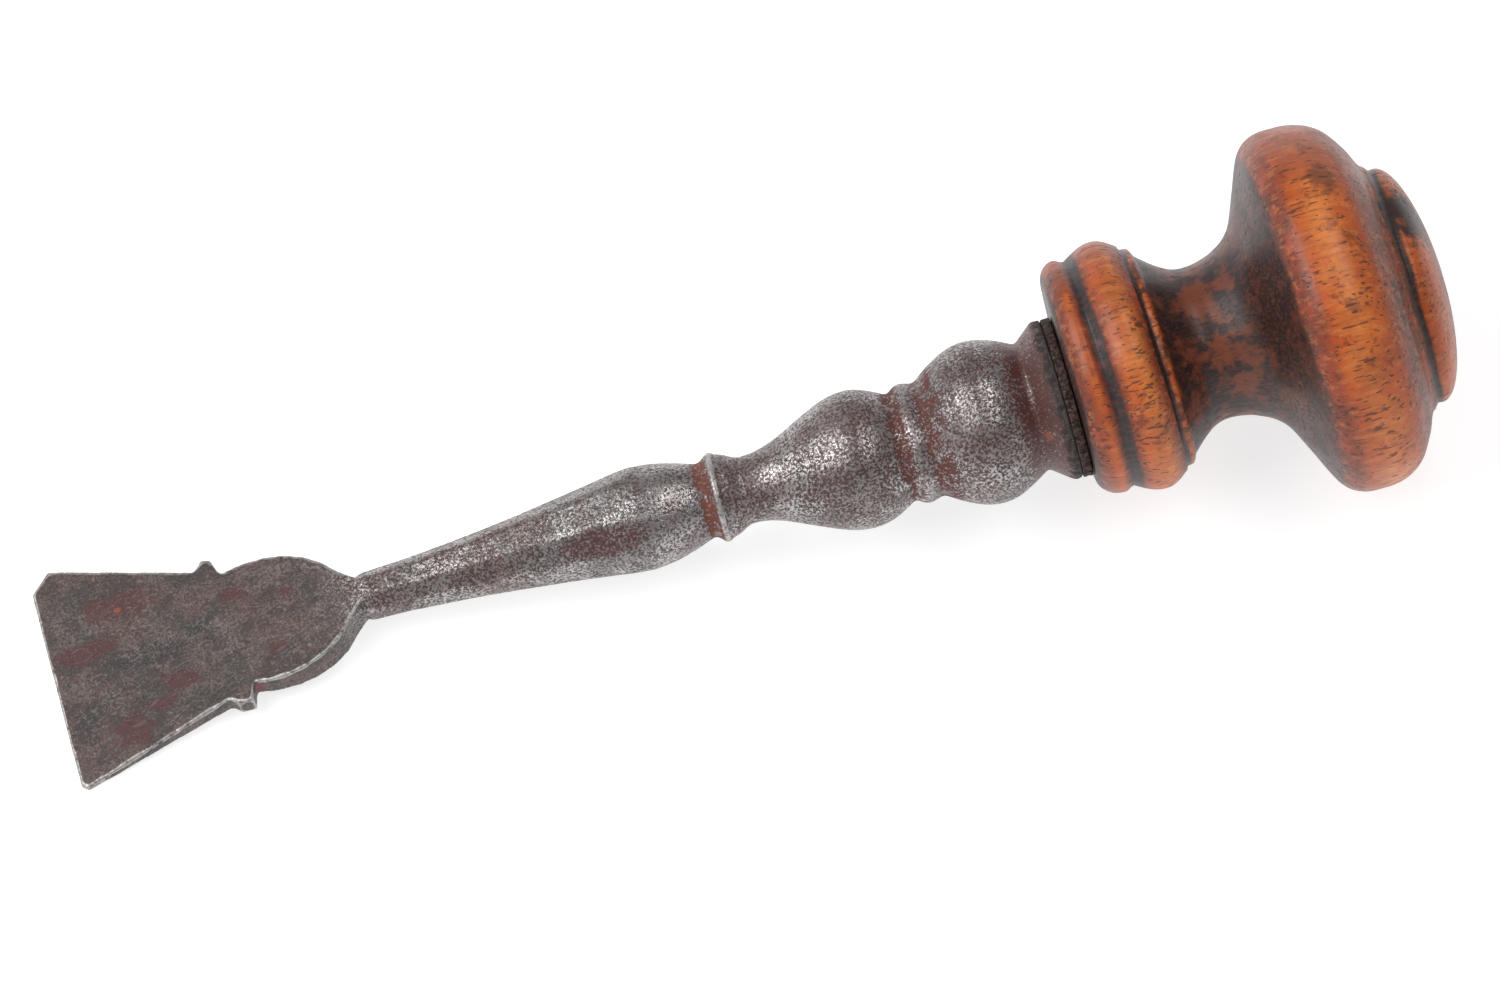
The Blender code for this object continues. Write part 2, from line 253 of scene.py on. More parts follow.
def skin(name, rings, closed=False):
    """A mesh over rings of equal count, capped at both ends unless it closes on itself."""
    rings = [np.asarray(points) for points in rings]
    count = len(rings[0])
    total = len(rings)
    faces = []
    pairs = total if closed else total - 1
    for row in range(pairs):
        here = row * count
        there = ((row + 1) % total) * count
        for index in range(count):
            after = (index + 1) % count
            faces.append((here + index, here + after, there + after, there + index))
    if not closed:
        faces.append(tuple(range(count - 1, -1, -1)))
        faces.append(tuple(range((total - 1) * count, total * count)))
    mesh = bpy.data.meshes.new(name)
    mesh.from_pydata(np.concatenate(rings).tolist(), [], faces)
    part = bpy.data.objects.new(name, mesh)
    bpy.context.scene.collection.objects.link(part)
    return part


def circle(x, radius, count, flat=None, y=0.0, skew=0.0, sides=8):
    """One section: round, or cut by flats at the given distance from the middle."""
    angle = np.arange(count) * 2 * math.pi / count
    reach = np.full(count, float(radius))
    if flat is not None:
        turn = 2 * math.pi / sides
        from_flat = (angle + turn / 2) % turn - turn / 2
        reach = np.minimum(reach, flat / np.cos(from_flat))
    across = reach * np.cos(angle)
    return np.stack([x - skew * across, y + across, reach * np.sin(angle)], axis=1)


def blade_side(end_half_width, clip, ear, shoulder_x):
    """One long side of the blade's outline, at positive widths."""
    along, across = clip
    foot, outer, inner, notch = ear
    slope = (end_half_width - foot[1]) / (foot[0] - BLADE_END_X)
    points = [
        (BLADE_END_X, end_half_width - across),
        (BLADE_END_X + along, end_half_width - slope * along),
        foot,
    ]
    points += between(foot, outer, from_crest)
    points += [inner, notch]
    notch_angle = math.acos((notch[0] - shoulder_x) / SHOULDER_HALF_LENGTH)
    end_angle = math.asin(SHOULDER_END_HALF_WIDTH / SHOULDER_HALF_WIDTH)
    for angle in np.linspace(notch_angle, end_angle, SHOULDER_POINTS)[1:]:
        x = shoulder_x + SHOULDER_HALF_LENGTH * math.cos(angle)
        points.append((x, SHOULDER_HALF_WIDTH * math.sin(angle)))
    points += between(points[-1], (NECK[0] + NECK_OVERRUN, NECK_HALF_FLAT), to_crest)
    return points


def wedge_slope():
    return (BLADE_FLAT_END[1] - BLADE_END_HALF_THICKNESS) / (BLADE_FLAT_END[0] - BLADE_END_X)


def hollow_swell(t):
    start = wedge_slope() * (NECK[0] - BLADE_FLAT_END[0]) / (NECK_HALF_HEIGHT - BLADE_FLAT_END[1])
    return start * t + (1 - start) * t ** 1.6


def make_blade():
    """Plan and side view of the blade as two prisms, cut to their common part."""
    far_side = blade_side(FAR_END_HALF_WIDTH, FAR_CORNER_CLIP, FAR_EAR, FAR_SHOULDER_X)
    near_side = blade_side(NEAR_END_HALF_WIDTH, NEAR_CORNER_CLIP, NEAR_EAR, NEAR_SHOULDER_X)
    sides = far_side + [(x, -width) for x, width in near_side[::-1]]
    outline = [(x - BLADE_SKEW * y, y) for x, y in sides]
    reach = NECK_HALF_HEIGHT + CUT_MARGIN
    plan = skin("blade_plan", [[(x, y, z) for x, y in outline] for z in (-reach, reach)])
    start_half_thickness = BLADE_END_HALF_THICKNESS - CUT_MARGIN * wedge_slope()
    upper = [(BLADE_END_X - CUT_MARGIN, start_half_thickness), BLADE_FLAT_END]
    upper += between(BLADE_FLAT_END, (NECK[0], NECK_HALF_HEIGHT), hollow_swell)
    upper.append((NECK[0] + CUT_MARGIN, NECK_HALF_HEIGHT))
    side = upper + [(x, -z) for x, z in upper[::-1]]
    reach = FAR_END_HALF_WIDTH + CUT_MARGIN
    cutter = skin("blade_side_view", [[(x, y, z) for x, z in side] for y in (-reach, reach)])
    cut = plan.modifiers.new("thickness", "BOOLEAN")
    cut.operation = "INTERSECT"
    cut.solver = "EXACT"
    cut.object = cutter
    settle(plan)
    bpy.data.objects.remove(cutter)
    return plan


def settle(part):
    """Turns a part's modifiers into plain mesh."""
    depsgraph = bpy.context.evaluated_depsgraph_get()
    finished = bpy.data.meshes.new_from_object(part.evaluated_get(depsgraph))
    part.modifiers.clear()
    part.data = finished


def bow(x):
    """How far the turned work wanders across the axis."""
    for (start_x, start), (end_x, end) in zip(CENTRE_LINE, CENTRE_LINE[1:]):
        if x < end_x:
            share = max(0, (x - start_x) / (end_x - start_x))
            return start + (end - start) * ease(share)
    return CENTRE_LINE[-1][1]


def shank_rings():
    rings = [circle(SHANK_ROOT_X, NECK_HALF_FLAT, IRON_SIDES)]
    for x, half_width in profile(NECK, (shank_taper, BULB)):
        left = np.clip((FACET_FADE_X[1] - x) / (FACET_FADE_X[1] - FACET_FADE_X[0]), 0, 1)
        corner = half_width * (1 + (CORNER_REACH - 1) * left)
        rings.append(circle(x, corner, IRON_SIDES, flat=half_width))
    return rings


def turned_rings():
    rings = []
    points = profile(
        BULB,
        (from_crest, BULB_FOOT),
        (ease, RING_ONE),
        (from_crest, RING_ONE_FOOT),
        (ease, BALUSTER_FOOT),
        (ease, BALUSTER),
        (from_crest, BALUSTER_HEEL),
        (to_crest, RING_TWO),
        (ease, RING_TWO_FOOT),
        (to_crest, BALL),
        (from_crest, BALL_FOOT),
        (straight, BOLSTER_SHOULDER),
        (to_crest, BOLSTER_RIM),
        (from_crest, BOLSTER_BACK),
    )
    for x, radius in points[1:]:
        skew = RING_SKEW if BULB_FOOT[0] <= x <= BALUSTER_FOOT[0] else 0
        rings.append(circle(x, radius, IRON_SIDES, y=bow(x), skew=skew))
    return rings


def make_iron():
    """Blade, shank, turned work and tang, melted into one even mesh."""
    rings = shank_rings() + turned_rings()
    for x, half_side in ((BOLSTER_BACK[0], TANG_ROOT_HALF_SIDE), TANG_END):
        rings.append(circle(x, TANG_CORNER_REACH, IRON_SIDES, flat=half_side, sides=4))
    iron = skin("iron_look", rings)
    blade = make_blade()
    with bpy.context.temp_override(active_object=iron, selected_editable_objects=[iron, blade]):
        bpy.ops.object.join()
    melt = iron.modifiers.new("melt", "REMESH")
    melt.mode = "VOXEL"
    melt.voxel_size = VOXEL
    settle(iron)
    return iron


def handle_points():
    collar = profile(
        (HANDLE_NOSE_X, NOSE_RADIUS),
        (full_round, FRONT_BEAD),
        (ease, COLLAR_GROOVE),
        (to_crest, REAR_BEAD),
        (from_crest, REAR_BEAD_HEEL),
        (straight, QUIRK),
        (straight, FILLET_RING),
        (from_crest, FILLET_RING_HEEL),
        (to_crest, WAIST),
    )
    head = flowing([
        WAIST, WAIST_REAR, HEAD_THROAT, HEAD_FLANK, HEAD_SHOULDER, HEAD_BROW, HEAD_RIM, HEAD_NAPE,
        HEAD_CHEEK, HEAD_HEEL, HEAD_COVE,
    ])
    boss = profile(
        HEAD_COVE,
        (straight, BOSS_QUIRK),
        (straight, BOSS_RIM),
        (full_drop, BOSS_END),
    )
    return collar + head + boss[1:]


def handle_skew(x):
    """How far out of square the handle's section at x is."""
    grown = min(1, (x - HANDLE_NOSE_X) / HANDLE_SKEW_START)
    faded = min(1, max(0, (x - HEAD_RIM[0]) / (BOSS_QUIRK[0] - HEAD_RIM[0])))
    return HANDLE_SKEW * grown + (BOSS_SKEW - HANDLE_SKEW) * faded


def make_handle():
    """Lathe of the handle with its bore; also says each point's place along the profile."""
    bore_end = (BORE_END_X, BORE_RADIUS)
    bore = [bore_end] + between(bore_end, (HANDLE_NOSE_X, BORE_RADIUS), straight, BORE_STEP)
    face = between(bore[-1], (HANDLE_NOSE_X, NOSE_RADIUS), straight, NOSE_STEP)
    points = bore + face[:-1] + handle_points()
    rings = []
    for index, (x, radius) in enumerate(points):
        skew = 0.0 if index < len(bore) else handle_skew(x)
        rings.append(circle(x, radius, WOOD_SIDES, y=HANDLE_OFFSET_Y, skew=skew))
    handle = skin("handle_look", rings)
    along = np.repeat([x for x, radius in points], WOOD_SIDES)
    inner = np.repeat([index < len(bore) for index in range(len(points))], WOOD_SIDES)
    return handle, along, inner


def make_washer():
    """Dried, cracked leather: a thin ring with a rounded rim that fills its joint."""
    hole = TANG_ROOT_HALF_SIDE + WASHER_HOLE_CLEARANCE
    front = WASHER_FRONT_X - WASHER_SWELL
    back = WASHER_BACK_X + WASHER_SWELL
    along, across = WASHER_ROUNDING
    face = [*WASHER_FACE_RADII, WASHER_RADIUS - across]
    sections = [(front, radius) for radius in face]
    sections += [(x, WASHER_RADIUS) for x in np.linspace(front + along, back - along, 5)]
    sections += [(back, radius) for radius in reversed(face)]
    rings = [circle(front, face[0], WASHER_SIDES, flat=hole, sides=4)]
    rings += [circle(x, radius, WASHER_SIDES) for x, radius in sections]
    rings.append(circle(back, face[0], WASHER_SIDES, flat=hole, sides=4))
    return skin("washer_look", rings, closed=True)


# ---------------------------------------------------------------------------
# Working the surfaces
# ---------------------------------------------------------------------------

BULB_PITS_X = -8.3              # a row of small pits on the crown of the shank's bulb
BULB_PITS_REACH = 1.6
THIN_BLADE_SHARE = 0.6          # the thin blade is worked less deeply
CHEWED_RADIUS = 9.5             # from here outwards the bolster's rim is chewed
SHARP_EDGE = 0.06               # a point this proud of its neighbours is on a sharp edge
RAGGED_RADIUS = 8.0
RAGGED_REACH = 2.5


def read_points(part):
    flat = np.empty(len(part.data.vertices) * 3)
    part.data.vertices.foreach_get("co", flat)
    return flat.reshape(-1, 3)


def write_points(part, points):
    part.data.vertices.foreach_set("co", points.ravel())
    part.data.update()


def read_normals(part):
    flat = np.empty(len(part.data.vertices) * 3, dtype=np.float32)
    part.data.vertices.foreach_get("normal", flat)
    return flat.reshape(-1, 3).astype(float)


def read_edges(part):
    flat = np.empty(len(part.data.edges) * 2, dtype=np.int32)
    part.data.edges.foreach_get("vertices", flat)
    return flat.reshape(-1, 2)


def relaxed(points, edges, rounds, share=0.5):
    """Points drawn towards the middle of their neighbours, again and again."""
    count = len(points)
    ends = np.concatenate([edges[:, 0], edges[:, 1]])
    others = np.concatenate([edges[:, 1], edges[:, 0]])
    degree = np.maximum(1, np.bincount(ends, minlength=count))[:, None]
    for _ in range(rounds):
        sums = [np.bincount(ends, weights=points[others, axis], minlength=count) for axis in range(3)]
        points = points + share * (np.stack(sums, axis=1) / degree - points)
    return points


def wander(points, size, seed):
    """Smooth values from -1 to 1 that change over the given size in millimetres."""
    table = np.random.default_rng(seed).uniform(-1, 1, NOISE_TABLE)
    cells = points / size + NOISE_ORIGIN
    base = np.floor(cells).astype(np.int64)
    t = cells - base
    t = t * t * (3 - 2 * t)
    value = np.zeros(len(points))
    for corner in itertools.product((0, 1), repeat=3):
        hashed = (base + corner) * NOISE_PRIMES
        index = hashed[:, 0] ^ hashed[:, 1] ^ hashed[:, 2]
        weight = np.abs(1 - np.array(corner) - t).prod(axis=1)
        value += weight * table[index % NOISE_TABLE]
    return value


def uneven(points, depth, size, seed):
    """A depth that wanders between nought and twice the given one."""
    return depth * (1 + wander(points, size, seed))


def pits(points, depth, size, seed, level):
    """Hollows where the wandering value is above the level; the depth is that of a full step."""
    return depth * np.clip(wander(points, size, seed) - level, 0, 1)


def from_axis(points):
    """Each point's distance from the tool's axis, and its direction away from it."""
    radial = points * np.array([0.0, 1.0, 1.0])
    radius = np.linalg.norm(radial, axis=1)
    return radius, radial / np.maximum(radius, 0.001)[:, None]


def keep(part, name, values):
    """Stores one number per point for the material to read."""
    layer = part.data.attributes.new(name, "FLOAT", "POINT")
    layer.data.foreach_set("value", np.asarray(values, dtype=np.float32))


def place(part, points, node, material):
    """Moves a part from tool millimetres to its place in the frame and hands it over."""
    layer = part.data.attributes.new("tool_co", "FLOAT_VECTOR", "POINT")
    layer.data.foreach_set("vector", points.astype(np.float32).ravel())
    turn = np.array(TOOL)
    write_points(part, points @ turn[:3, :3].T + turn[:3, 3])
    part.data.shade_smooth()
    part.data.materials.clear()
    part.data.materials.append(material)
    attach(part, "root")
    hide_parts(node)


def work_iron(iron):
    """Hammer unevenness, pits and worn edges; all of it cut into the metal."""
    edges = read_edges(iron)
    points = relaxed(read_points(iron), edges, 5)
    write_points(iron, points)
    x = points[:, 0]
    near_bulb = np.clip(1 - np.abs(x - BULB_PITS_X) / BULB_PITS_REACH, 0, 1)
    depth = uneven(points, 0.05, 5.0, seed=1) + uneven(points, 0.02, 1.6, seed=2)
    depth += pits(points, 0.10, 1.1, seed=3, level=0.45)
    depth += pits(points, 0.22, 0.55, seed=4, level=0.62)
    depth += pits(points, 0.12, 0.5, seed=5, level=0.25) * near_bulb
    depth *= np.clip(BOLSTER_BACK[0] - x, 0, 1)
    depth *= np.where(x < BLADE_FLAT_END[0], THIN_BLADE_SHARE, 1.0)
    points = points - read_normals(iron) * depth[:, None]

    radius, outward = from_axis(points)
    rim = np.clip(points[:, 0] - BOLSTER_SHOULDER[0], 0, 1) * np.clip(radius - CHEWED_RADIUS, 0, 1)
    chewed = uneven(points, 0.10, 1.6, seed=6) + uneven(points, 0.10, 0.7, seed=7)
    points = points - outward * (chewed * rim)[:, None]
    write_points(iron, points)

    proud = np.sum((points - relaxed(points, edges, 12)) * read_normals(iron), axis=1)
    keep(iron, "edge", np.clip(proud / SHARP_EDGE, -1, 1) * 0.5 + 0.5)
    return points


def work_handle(handle, along, inner):
    """Slightly uneven turning and worn, knocked crests."""
    points = read_points(handle)
    chatter = points * np.array([1.0, 0.02, 0.02])
    depth = uneven(points, 0.07, 11.0, seed=11) + uneven(points, 0.03, 3.5, seed=12)
    depth += uneven(chatter, 0.02, 0.9, seed=13)
    depth += pits(points, 0.28, 1.3, seed=14, level=0.66)
    depth[inner] = 0.0
    keep(handle, "along", (along - HANDLE_NOSE_X) / (BOSS_END[0] - HANDLE_NOSE_X))
    return points - read_normals(handle) * depth[:, None]


def work_washer(washer):
    """A ragged rim with cracks that run into it."""
    points = read_points(washer)
    radius, outward = from_axis(points)
    rim = np.clip((radius - RAGGED_RADIUS) / RAGGED_REACH, 0, 1)
    depth = uneven(points, 0.16, 1.4, seed=21) + uneven(points, 0.14, 0.5, seed=22)
    depth += pits(points * np.array([0.3, 1, 1]), 1.6, 0.8, seed=23, level=0.55)
    return points - outward * (depth * rim)[:, None]


# ---------------------------------------------------------------------------
# Materials
# ---------------------------------------------------------------------------

class Graph:
    """A material's node tree, with short names for the nodes that are used again and again."""

    def __init__(self, name):
        self.material = bpy.data.materials.new(name)
        self.material.use_nodes = True
        self.tree = self.material.node_tree
        self.shader = self.tree.nodes["Principled BSDF"]
        self.place = self.node("ShaderNodeAttribute", attribute_name="tool_co").outputs["Vector"]
        split = self.node("ShaderNodeSeparateXYZ", {"Vector": self.place})
        self.x, self.y = split.outputs["X"], split.outputs["Y"]

    def node(self, kind, inputs=None, **settings):
        made = self.tree.nodes.new(kind)
        for key, value in settings.items():
            setattr(made, key, value)
        for key, value in (inputs or {}).items():
            self.feed(made.inputs[key], value)
        return made

    def feed(self, socket, value):
        if isinstance(value, bpy.types.NodeSocket):
            self.tree.links.new(value, socket)
        else:
            socket.default_value = value

    def attribute(self, name):
        return self.node("ShaderNodeAttribute", attribute_name=name).outputs["Fac"]

    def math(self, operation, *values):
        made = self.node("ShaderNodeMath", operation=operation)
        for socket, value in zip(made.inputs, values):
            self.feed(socket, value)
        return made.outputs[0]

    def both(self, first, second):
        return self.math("MULTIPLY", first, second)

    def either(self, first, second):
        return self.math("MAXIMUM", first, second)

    def outside(self, mask):
        return self.math("SUBTRACT", 1.0, mask)

    def raised(self, value, mask, amount):
        """The value, with the amount added where the mask is one."""
        return self.math("MULTIPLY_ADD", mask, amount, value)

    def noise(self, size, detail=2.0, roughness=0.5, stretch=(1, 1, 1), shift=0.0, turn=0.0):
        """Noise with features of about half the given size in millimetres, turned and stretched."""
        mapped = self.node("ShaderNodeMapping", {
            "Vector": self.place, "Scale": tuple(size * s for s in stretch),
            "Location": (shift * size, shift, shift), "Rotation": (0, 0, math.radians(turn)),
        }, vector_type="TEXTURE")
        made = self.node("ShaderNodeTexNoise", {
            "Vector": mapped.outputs[0], "Scale": 1.0, "Detail": detail, "Roughness": roughness,
        })
        return made.outputs["Fac"]

    def plain_noise(self, scale, detail):
        """Noise for a piece without tool millimetres; the scale is in features per metre."""
        where = self.node("ShaderNodeTexCoord").outputs["Object"]
        made = self.node("ShaderNodeTexNoise", {"Vector": where, "Scale": scale, "Detail": detail})
        return made.outputs["Fac"]

    def wobble(self, size):
        """Uneven values round nought, which make the borders of a patch ragged."""
        centred = self.math("SUBTRACT", self.noise(size, 4, 0.7, shift=31), 0.5)
        return self.both(centred, 2.2)

    def spot(self, centre, size, wobble=0.0):
        """One inside an uneven patch round a point in tool millimetres, and nought outside."""
        away = self.node("ShaderNodeVectorMath", {0: self.place, 1: centre}, operation="SUBTRACT")
        scaled = self.node("ShaderNodeVectorMath", {0: away.outputs[0], 1: size}, operation="DIVIDE")
        length = self.node("ShaderNodeVectorMath", {0: scaled.outputs[0]}, operation="LENGTH")
        return self.step(self.math("ADD", length.outputs["Value"], wobble), 0.55, 1.05, 1.0, 0.0)

    def step(self, value, low, high, out_low=0.0, out_high=1.0):
        made = self.node("ShaderNodeMapRange", {
            "Value": value, "From Min": low, "From Max": high, "To Min": out_low, "To Max": out_high,
        }, interpolation_type="SMOOTHSTEP")
        return made.outputs["Result"]

    def band(self, value, low, high, soft):
        """One between low and high and nought outside, with soft borders."""
        rise = self.step(value, low - soft, low + soft)
        fall = self.step(value, high - soft, high + soft, 1.0, 0.0)
        return self.both(rise, fall)

    def blend(self, factor, first, second):
        made = self.node("ShaderNodeMix", data_type="RGBA")
        self.feed(made.inputs[0], factor)
        self.feed(made.inputs[6], first if not isinstance(first, tuple) else (*first, 1.0))
        self.feed(made.inputs[7], second if not isinstance(second, tuple) else (*second, 1.0))
        return made.outputs[2]

    def tint(self, colour, mask, amount, other):
        """The colour, turned by the amount towards the other where the mask is one."""
        return self.blend(self.both(mask, amount), colour, other)

    def level(self, factor, first, second):
        made = self.node("ShaderNodeMix", data_type="FLOAT")
        self.feed(made.inputs[0], factor)
        self.feed(made.inputs[2], first)
        self.feed(made.inputs[3], second)
        return made.outputs[0]

    def ramp(self, value, stops):
        made = self.node("ShaderNodeValToRGB", {"Fac": value})
        line = made.color_ramp
        while len(line.elements) < len(stops):
            line.elements.new(0.5)
        for element, (position, colour) in zip(line.elements, stops):
            element.position = position
            element.color = (*colour, 1.0)
        return made.outputs["Color"]

    def bumps(self, height, strength, distance):
        made = self.node("ShaderNodeBump", {"Height": height, "Strength": strength, "Distance": distance})
        self.feed(self.shader.inputs["Normal"], made.outputs["Normal"])

    def finish(self, colour, roughness, metallic=0.0, **fixed):
        self.feed(self.shader.inputs["Base Color"], colour)
        self.feed(self.shader.inputs["Roughness"], roughness)
        self.feed(self.shader.inputs["Metallic"], metallic)
        for key, value in fixed.items():
            self.shader.inputs[key.replace("_", " ")].default_value = value
        return self.material


# Marks on the iron: (centre, half-sizes) in tool millimetres. The blade's go through its thickness.
RED_STAINS = (
    ((-86.5, 2.9, 0.7), (4.6, 2.2, 9.0)),
    ((-83.0, -10.4, 0.9), (3.6, 2.8, 9.0)),
    ((-65.9, 5.1, 1.6), (1.9, 1.6, 9.0)),
    ((-61.9, -4.6, 1.7), (1.3, 1.2, 9.0)),
    ((-81.0, 8.5, 0.9), (6.0, 2.4, 9.0)),
    ((-75.0, -5.0, 1.1), (3.4, 1.8, 9.0)),
    ((-59.0, 3.0, 1.7), (1.4, 0.9, 9.0)),
    ((-78.0, -7.6, 1.0), (2.6, 1.3, 9.0)),
)
DARK_STAINS = (
    ((-88.6, -7.4, 0.6), (2.8, 2.8, 9.0)),
    ((-78.4, -0.1, 1.0), (7.6, 2.0, 9.0)),
    ((-72.0, 2.0, 1.3), (3.4, 1.8, 9.0)),
    ((-85.6, -5.0, 0.8), (1.7, 1.3, 9.0)),
)
SHANK_PATCH = ((-16.5, -4.6, 4.4), (7.6, 2.6, 2.6))
ORANGE_DOTS = (
    ((-81.2, 7.9, 0.9), (0.6, 0.4, 2.0)),
    ((43.9, -7.7, 5.1), (0.8, 0.8, 0.8)),
)
RED_NOTCH = ((-65.3, -8.9, 0.0), (1.0, 0.8, 1.2))

# Stretches along the tool that look alike
BLADE_LOOK_END = (-56.0, -46.0)
TURNED_LOOK_START = (-14.0, -6.0)
BRIGHT_BULB = (-10.0, -3.0)
RING_ONE_RUST = (-2.6, -0.75)
RING_TWO_RUST = (23.9, 26.2)
BALL_RUST = (28.2, 31.2)
RED_BOLSTER = (40.4, 47.5)
DULL_BOLSTER = (41.0, 50.0)
BLACK_START = (45.2, 46.4)
BARE_EDGES_END = (40.0, 43.0)


def iron_patina(g, blade, middle, stained, patch, dark, wobble):
    """Brown to grey patina with stains, dark pores and, on the blade, fine scratches."""
    broad = g.step(g.noise(13.0, 4, 0.62), 0.44, 0.57)
    turned = g.step(g.x, *TURNED_LOOK_START)
    grey, brown = (0.076, 0.059, 0.054), (0.084, 0.040, 0.032)
    turned_red, turned_dark = (0.088, 0.040, 0.037), (0.066, 0.024, 0.022)
    colour = g.blend(broad, grey, brown)
    colour = g.tint(colour, turned, 0.75, g.blend(broad, turned_red, turned_dark))
    colour = g.tint(colour, blade, 0.50, (0.050, 0.022, 0.014))
    mottle = g.blend(blade, (0.050, 0.023, 0.021), (0.018, 0.011, 0.010))
    colour = g.tint(colour, middle, 0.68, mottle)
    colour = g.tint(colour, stained, 0.93, (0.064, 0.008, 0.007))
    for centre, size in DARK_STAINS:
        colour = g.tint(colour, g.spot(centre, size, wobble), 0.85, (0.018, 0.012, 0.011))
    colour = g.tint(colour, patch, 0.8, (0.078, 0.024, 0.021))
    colour = g.tint(colour, dark, g.level(blade, 0.60, 0.78), (0.020, 0.014, 0.014))
    scratch = g.noise(0.34, 2, 0.6, stretch=(9, 1, 9), shift=25, turn=24)
    cross = g.noise(0.34, 2, 0.6, stretch=(9, 1, 9), shift=65, turn=-8)
    scored = g.both(g.step(g.either(scratch, cross), 0.62, 0.70), blade)
    return g.tint(colour, scored, 0.25, (0.24, 0.205, 0.195))


def iron_material():
    """Red-brown patina through which bare metal shows as fine specks, with rust in the hollows."""
    g = Graph("patinated_iron")
    wobble = g.wobble(2.2)
    blade = g.step(g.x, *BLADE_LOOK_END, 1.0, 0.0)
    middle = g.step(g.noise(4.2, 4, 0.68, shift=7), 0.46, 0.58)
    speck = g.noise(0.36, 3, 0.70, shift=3)
    dark = g.step(speck, 0.37, 0.46, 1.0, 0.0)
    patch = g.spot(*SHANK_PATCH, g.both(wobble, 0.5))
    stained = 0.0
    for centre, size in RED_STAINS:
        stained = g.either(g.spot(centre, size, wobble), stained)
    colour = iron_patina(g, blade, middle, stained, patch, dark, wobble)

    rust = g.noise(2.0, 4, 0.65, shift=21)
    ring_one = g.both(g.band(g.x, *RING_ONE_RUST, 0.25), g.step(rust, 0.34, 0.46))
    ring_two = g.either(g.band(g.x, *RING_TWO_RUST, 0.5), g.band(g.x, *BALL_RUST, 0.6))
    ring_two = g.both(ring_two, g.step(rust, 0.40, 0.52))
    rusty = g.either(ring_one, ring_two)
    black = g.step(g.raised(g.x, wobble, 1.6), *BLACK_START)
    colour = g.tint(colour, ring_one, 0.68, (0.165, 0.036, 0.016))
    colour = g.tint(colour, ring_two, 0.75, (0.100, 0.021, 0.014))
    colour = g.tint(colour, g.band(g.x, *RED_BOLSTER, 0.9), 0.85, (0.070, 0.016, 0.012))
    colour = g.tint(colour, black, 0.85, (0.016, 0.012, 0.012))

    # How far the metal shows through: more where rubbed, less under rust, stains and soot
    worn = g.step(g.noise(6.0, 4, 0.7, shift=44), 0.36, 0.64)
    shows = g.math("ADD", speck, g.level(worn, -0.03, 0.025))
    shows = g.raised(shows, blade, -0.040)
    shows = g.raised(shows, g.both(middle, blade), -0.050)
    shows = g.raised(shows, stained, -0.055)
    shows = g.raised(shows, patch, -0.06)
    shows = g.raised(shows, g.band(g.x, *BRIGHT_BULB, 0.8), 0.035)
    shows = g.raised(shows, g.band(g.x, *DULL_BOLSTER, 1.2), -0.10)
    shows = g.raised(shows, rusty, -0.085)
    shows = g.raised(shows, black, -0.06)
    sparks = g.step(shows, 0.44, 0.62)
    rubbed = g.step(g.noise(6.5, 3, 0.6, shift=52), 0.44, 0.56, 0.55, 0.95)
    rubbed = g.level(blade, rubbed, 0.75)
    colour = g.tint(colour, sparks, rubbed, g.blend(blade, (0.47, 0.455, 0.45), (0.170, 0.134, 0.123)))
    for centre, size in ORANGE_DOTS:
        colour = g.tint(colour, g.spot(centre, size, wobble), 0.65, (0.26, 0.050, 0.018))
    colour = g.tint(colour, g.spot(*RED_NOTCH, wobble), 0.8, (0.17, 0.018, 0.030))

    bare = g.step(g.noise(0.9, 3, 0.7, shift=13), 0.28, 0.56)
    bare = g.both(bare, g.step(g.attribute("edge"), 0.74, 0.96))
    bare = g.both(bare, g.step(g.x, *BARE_EDGES_END, 1.0, 0.1))
    colour = g.tint(colour, bare, 0.70, (0.52, 0.505, 0.49))

    rough = g.level(dark, g.level(blade, 0.36, 0.48), 0.60)
    for mask, value in ((rusty, 0.75), (black, 0.85), (sparks, 0.26), (bare, 0.30)):
        rough = g.level(mask, rough, value)
    metal = g.level(bare, g.both(sparks, g.level(blade, rubbed, 0.30)), 0.55)
    grain = g.noise(0.30, 2, 0.6, shift=9)
    g.bumps(g.math("ADD", g.both(speck, 0.7), g.both(grain, 0.3)), 0.4, 0.00018)
    return g.finish(colour, rough, metal, IOR=1.55)


# Marks on the handle: (centre, half-sizes) in tool millimetres, and how dark a stain is
LONG_LINES = (
    ((81.8, 6.4, 23.7), (3.6, 0.26, 0.5)),
    ((82.6, 2.7, 24.4), (4.0, 0.24, 0.5)),
)
WOOD_STAINS = (
    ((96.9, 4.6, 12.5), (4.6, 5.0, 9.0), 0.97),
    ((87.2, 7.5, 22.6), (2.4, 4.0, 3.5), 0.55),
    ((58.9, -1.4, 16.0), (0.7, 0.6, 1.0), 0.8),
    ((50.6, 9.0, 14.0), (1.5, 4.5, 5.0), 0.5),
)
WAIST_STRETCH = (62.0, 79.2)
WORN_WAIST_END = (69.0, 78.0)
CHIPPED_RING = (60.75, 62.1)
GROOVE_STRETCH = (52.4, 54.1)
# The last stretch reaches over the nose's face by the washer, where the dark colour is painted shade.
OTHER_HOLLOWS = ((60.2, 60.8), (94.3, 95.4), (40.0, 49.1))


def place_along(x):
    """A distance along the tool as a share of the handle's length."""
    return (x - HANDLE_NOSE_X) / (BOSS_END[0] - HANDLE_NOSE_X)


